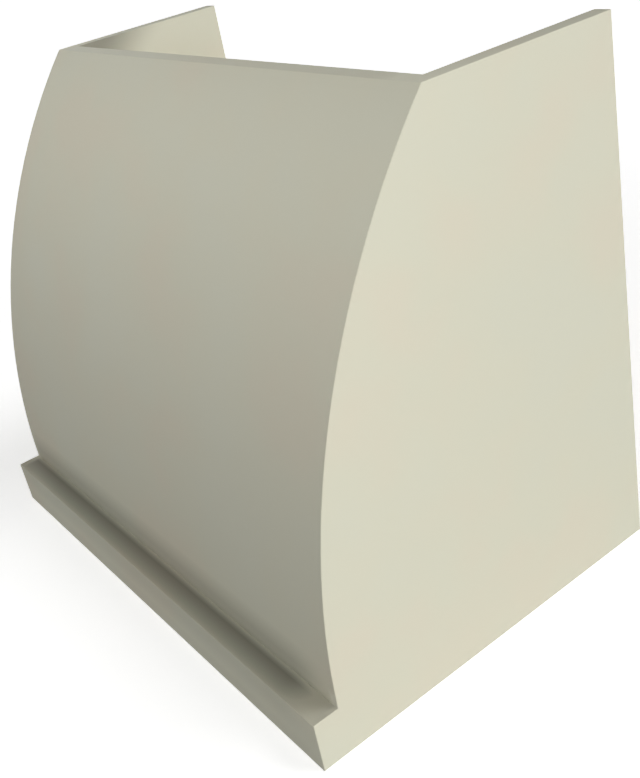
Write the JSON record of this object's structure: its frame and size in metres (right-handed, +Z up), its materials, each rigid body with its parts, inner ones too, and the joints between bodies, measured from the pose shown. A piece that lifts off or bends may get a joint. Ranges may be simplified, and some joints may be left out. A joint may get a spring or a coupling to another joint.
{
  "type": "range hood cover",
  "caption": "Wall-hung wooden range hood cover with a bowed front, stepped lip, flat side panels, open top, and an open frame below for a hood insert.",
  "frame": {"origin": "middle of the bottom edge in the plane of the wall", "axes": "+X to the right as the cook sees it, +Y into the wall (the room is on the -Y side), +Z up"},
  "size_m": [0.9144, 0.6096, 0.762],
  "materials": {
    "painted_panel": "satin sprayed paint",
    "bending_plywood": "bare, edges painted",
    "birch_plywood": "bare, sanded",
    "poplar": "bare, planed",
    "zinc_screw": "zinc plated"
  },
  "bodies": {
    "root": {"left_side_panel": "painted_panel", "right_side_panel": "painted_panel", "bowed_front_outer_layer": "painted_panel", "bowed_front_middle_layer": "bending_plywood", "bowed_front_inner_layer": "bending_plywood", "lip_face_board": "painted_panel", "lip_ledge_board": "painted_panel", "left_rib": "birch_plywood", "centre_rib": "birch_plywood", "right_rib": "birch_plywood", "top_stretcher": "poplar", "middle_stretcher": "poplar", "bow_foot_cleat": "poplar", "insert_frame_front_rail": "poplar", "insert_frame_rear_rail": "poplar", "insert_frame_left_rail": "poplar", "insert_frame_right_rail": "poplar", "hanging_rail": "birch_plywood", "wall_cleat": "birch_plywood", "lower_wall_rail": "birch_plywood", "corner_glue_blocks": "poplar", "insert_frame_lap_screws": "zinc_screw", "insert_frame_side_screws": "zinc_screw", "rib_screws": "zinc_screw", "foot_cleat_screws": "zinc_screw"}
  },
  "joints": []
}
